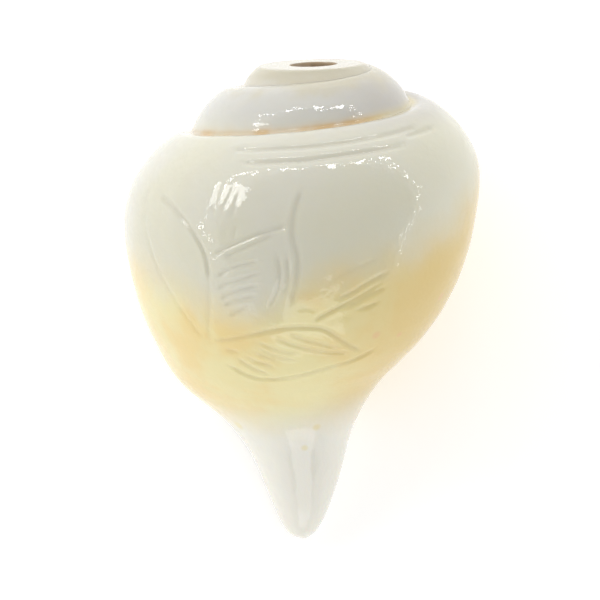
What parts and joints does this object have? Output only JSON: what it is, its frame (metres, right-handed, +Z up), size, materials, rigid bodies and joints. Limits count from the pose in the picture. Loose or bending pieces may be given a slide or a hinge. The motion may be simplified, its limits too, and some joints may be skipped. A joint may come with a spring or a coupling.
{
  "type": "sacred chank shell",
  "caption": "Polished, carved sacred chank shell with its tip sawn off as a mouthpiece, lying on its opening: spiral whorls, a ledge at each suture and an open canal.",
  "frame": {"origin": "bottom centre of the bounding box of the shell lying at rest, on the surface that it lies on", "axes": "+Z up, towards the shell's back; +Y towards the sawn mouthpiece end; +X to the right when seen from above with the mouthpiece end away"},
  "size_m": [0.0994, 0.132, 0.0842],
  "materials": {
    "polished_shell": "polished ivory shell with an ochre band, glossy"
  },
  "bodies": {
    "root": {"shell": "polished_shell"}
  },
  "joints": []
}
